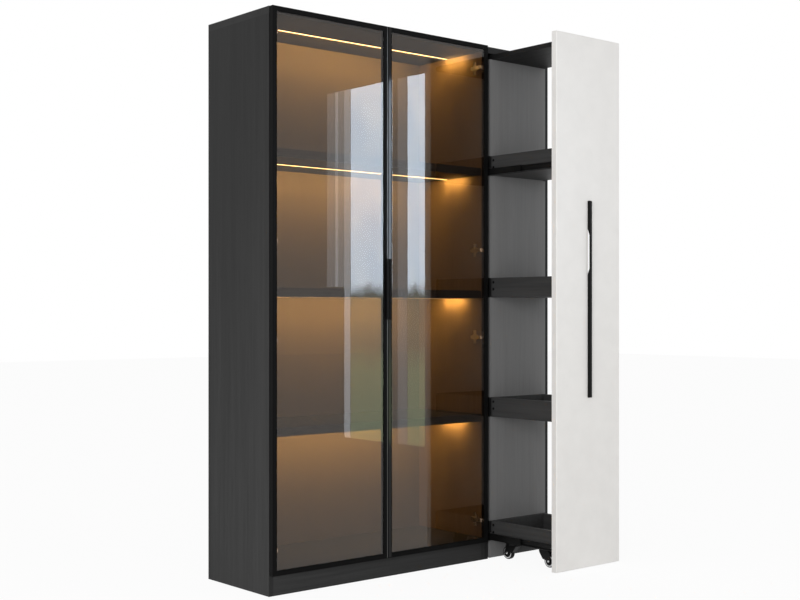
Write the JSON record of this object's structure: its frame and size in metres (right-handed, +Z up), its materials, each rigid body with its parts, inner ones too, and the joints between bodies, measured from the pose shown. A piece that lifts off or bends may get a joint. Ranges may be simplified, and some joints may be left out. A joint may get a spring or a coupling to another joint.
{
  "type": "bookcase with glass doors and pull-out unit",
  "caption": "Tall lit bookcase with two framed glass doors, beside a narrow bay with a pull-out bookcase of trays on slides and casters behind a plain front with a bar handle.",
  "frame": {"origin": "middle of the whole outline at floor level, with the doors shut and the pull-out fully out", "axes": "+X to the right along the front, +Y to the back, +Z up"},
  "size_m": [1.372, 0.772, 2],
  "materials": {
    "charcoal_board": "matt charcoal wood-grain laminate",
    "back_board": "matt laminate",
    "dark_aluminium": "anodised near black",
    "bronze_glass": "bronze tinted, polished",
    "gasket_rubber": "matt black",
    "nickel": "bright nickel",
    "black_steel": "satin black",
    "channel_aluminium": "satin",
    "diffuser": "warm white, translucent",
    "driver_case": "matt grey",
    "white_lacquer": "smooth white lacquer",
    "black_plastic": "matt black",
    "caster_steel": "satin black",
    "caster_tyre": "satin black"
  },
  "bodies": {
    "cabinet": {"side_panel_left": "charcoal_board", "side_panel_middle": "charcoal_board", "top_board": "charcoal_board", "bottom_board": "charcoal_board", "plinth_board": "charcoal_board", "plinth_rear_rail": "charcoal_board", "back_panel": "back_board", "shelf_lower": "charcoal_board", "shelf_middle": "charcoal_board", "shelf_upper": "charcoal_board", "led_channels": "channel_aluminium", "led_diffusers": "diffuser", "led_driver": "driver_case", "hinge_plates": "nickel", "hinge_arms": "nickel", "door_bumpers": "gasket_rubber", "bay_side_left": "charcoal_board", "bay_side_right": "charcoal_board", "bay_top_board": "charcoal_board", "bay_back_panel": "back_board", "bay_rear_rail": "charcoal_board", "slide_channels": "black_steel"},
    "door_left": {"door_left_frame": "dark_aluminium", "door_left_glass": "bronze_glass", "door_left_gasket": "gasket_rubber", "door_left_pull": "dark_aluminium", "door_left_hinge_cups": "nickel"},
    "door_right": {"door_right_frame": "dark_aluminium", "door_right_glass": "bronze_glass", "door_right_gasket": "gasket_rubber", "door_right_pull": "dark_aluminium", "door_right_hinge_cups": "nickel"},
    "links_left": {"hinge_links_left": "nickel"},
    "links_right": {"hinge_links_right": "nickel"},
    "pullout": {"front_panel": "white_lacquer", "pull_handle": "dark_aluminium", "pullout_top_board": "charcoal_board", "pullout_rear_panel": "charcoal_board", "tray_corner_blocks": "black_plastic", "tray_bottom": "charcoal_board", "tray_lower": "charcoal_board", "tray_upper": "charcoal_board", "tray_top": "charcoal_board", "slide_inner_members": "black_steel", "caster_plates": "caster_steel"},
    "slide_middles": {"slide_middle_members": "black_steel"},
    "fork_front_left": {"caster_fork_front_left": "caster_steel"},
    "wheel_front_left": {"caster_wheel_front_left": "caster_tyre"},
    "fork_front_right": {"caster_fork_front_right": "caster_steel"},
    "wheel_front_right": {"caster_wheel_front_right": "caster_tyre"},
    "fork_rear_left": {"caster_fork_rear_left": "caster_steel"},
    "wheel_rear_left": {"caster_wheel_rear_left": "caster_tyre"},
    "fork_rear_right": {"caster_fork_rear_right": "caster_steel"},
    "wheel_rear_right": {"caster_wheel_rear_right": "caster_tyre"}
  },
  "joints": [
    {"name": "pullout_slide", "type": "slide", "parent": "cabinet", "child": "pullout", "axis": [0, -1, 0], "range_m": [-0.35, 0]},
    {"name": "slide_middle_travel", "type": "slide", "parent": "cabinet", "child": "slide_middles", "axis": [0, -1, 0], "range_m": [-0.175, 0]},
    {"name": "door_left_swing", "type": "hinge", "parent": "cabinet", "child": "door_left", "pos_m": [-0.679, -0.013, 1.035], "axis": [0, 0, -1], "range_deg": [0, 90]},
    {"name": "door_right_swing", "type": "hinge", "parent": "cabinet", "child": "door_right", "pos_m": [0.321, -0.013, 1.035], "axis": [0, 0, 1], "range_deg": [0, 90]},
    {"name": "links_left_swing", "type": "hinge", "parent": "cabinet", "child": "links_left", "pos_m": [-0.65902, -0.00402, 1.035], "axis": [0, 0, 1], "range_deg": [0, 51]},
    {"name": "links_right_swing", "type": "hinge", "parent": "cabinet", "child": "links_right", "pos_m": [0.30102, -0.00402, 1.035], "axis": [0, 0, -1], "range_deg": [0, 51]},
    {"name": "swivel_front_left", "type": "hinge", "parent": "pullout", "child": "fork_front_left", "pos_m": [0.408, -0.25, 0.06], "axis": [0, 0, 1], "continuous": true},
    {"name": "swivel_front_right", "type": "hinge", "parent": "pullout", "child": "fork_front_right", "pos_m": [0.606, -0.25, 0.06], "axis": [0, 0, 1], "continuous": true},
    {"name": "swivel_rear_left", "type": "hinge", "parent": "pullout", "child": "fork_rear_left", "pos_m": [0.408, -0.074, 0.06], "axis": [0, 0, 1], "continuous": true},
    {"name": "swivel_rear_right", "type": "hinge", "parent": "pullout", "child": "fork_rear_right", "pos_m": [0.606, -0.074, 0.06], "axis": [0, 0, 1], "continuous": true},
    {"name": "roll_front_left", "type": "hinge", "parent": "fork_front_left", "child": "wheel_front_left", "pos_m": [0.408, -0.272, 0.025], "axis": [1, 0, 0], "continuous": true},
    {"name": "roll_front_right", "type": "hinge", "parent": "fork_front_right", "child": "wheel_front_right", "pos_m": [0.606, -0.272, 0.025], "axis": [1, 0, 0], "continuous": true},
    {"name": "roll_rear_left", "type": "hinge", "parent": "fork_rear_left", "child": "wheel_rear_left", "pos_m": [0.408, -0.052, 0.025], "axis": [1, 0, 0], "continuous": true},
    {"name": "roll_rear_right", "type": "hinge", "parent": "fork_rear_right", "child": "wheel_rear_right", "pos_m": [0.606, -0.052, 0.025], "axis": [1, 0, 0], "continuous": true}
  ],
  "couplings": [
    {"joint": "slide_middle_travel", "follows": "pullout_slide", "ratio": 0.5},
    {"joint": "links_left_swing", "follows": "door_left_swing", "ratio": 0.56653},
    {"joint": "links_right_swing", "follows": "door_right_swing", "ratio": 0.56653}
  ]
}
